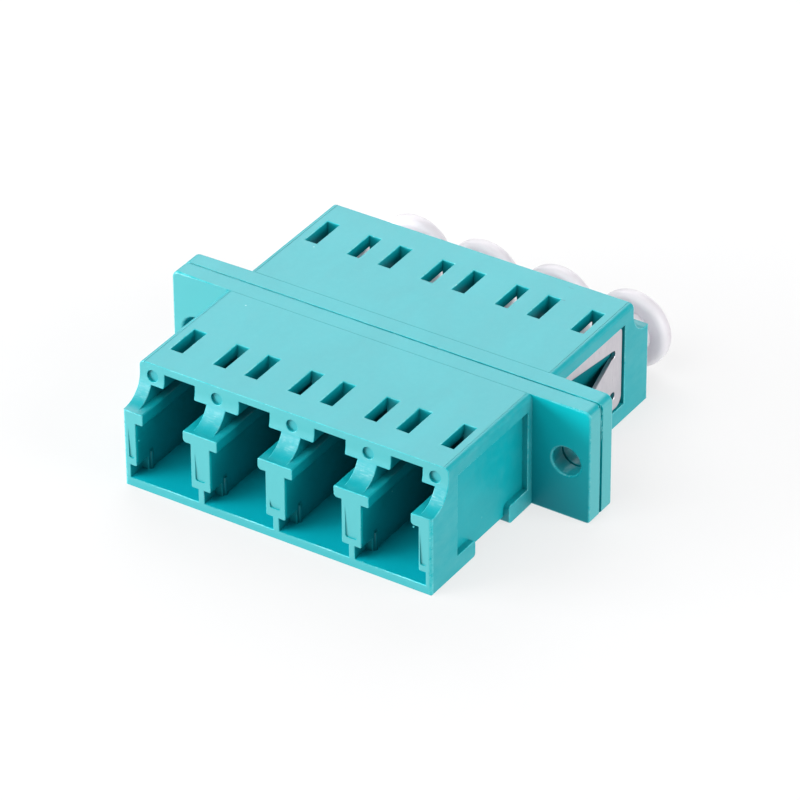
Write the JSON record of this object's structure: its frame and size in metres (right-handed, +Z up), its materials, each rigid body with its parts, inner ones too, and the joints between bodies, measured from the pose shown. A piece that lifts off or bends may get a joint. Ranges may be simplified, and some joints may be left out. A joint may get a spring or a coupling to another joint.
{
  "type": "fibre optic adapter",
  "caption": "Flanged panel adapter that joins small-form fibre plugs end to end through ceramic sleeves, with latch windows, a spring panel clip and push-in dust caps.",
  "frame": {"origin": "midpoint between the two panel screw holes, on the joint plane of the two housing halves, at half the body height", "axes": "+X along the row of ports, +Y out of the capped ports, +Z up from the underside to the side with the latch windows"},
  "size_m": [0.035, 0.0332, 0.0092],
  "materials": {
    "aqua_plastic": "satin moulded",
    "spring_steel": "rolled sheet",
    "zirconia": "ground",
    "cap_plastic": "soft moulded"
  },
  "bodies": {
    "housing": {"housing_front": "aqua_plastic", "housing_rear": "aqua_plastic", "panel_clip": "spring_steel", "sleeve_1": "zirconia", "sleeve_2": "zirconia", "sleeve_3": "zirconia", "sleeve_4": "zirconia"},
    "cap_1": {"dust_cap_1": "cap_plastic"},
    "cap_2": {"dust_cap_2": "cap_plastic"},
    "cap_3": {"dust_cap_3": "cap_plastic"},
    "cap_4": {"dust_cap_4": "cap_plastic"}
  },
  "joints": [
    {"name": "cap_1_pull", "type": "slide", "parent": "housing", "child": "cap_1", "axis": [0, 1, 0], "range_m": [0, 0.0125]},
    {"name": "cap_2_pull", "type": "slide", "parent": "housing", "child": "cap_2", "axis": [0, 1, 0], "range_m": [0, 0.0125]},
    {"name": "cap_3_pull", "type": "slide", "parent": "housing", "child": "cap_3", "axis": [0, 1, 0], "range_m": [0, 0.0125]},
    {"name": "cap_4_pull", "type": "slide", "parent": "housing", "child": "cap_4", "axis": [0, 1, 0], "range_m": [0, 0.0125]}
  ]
}
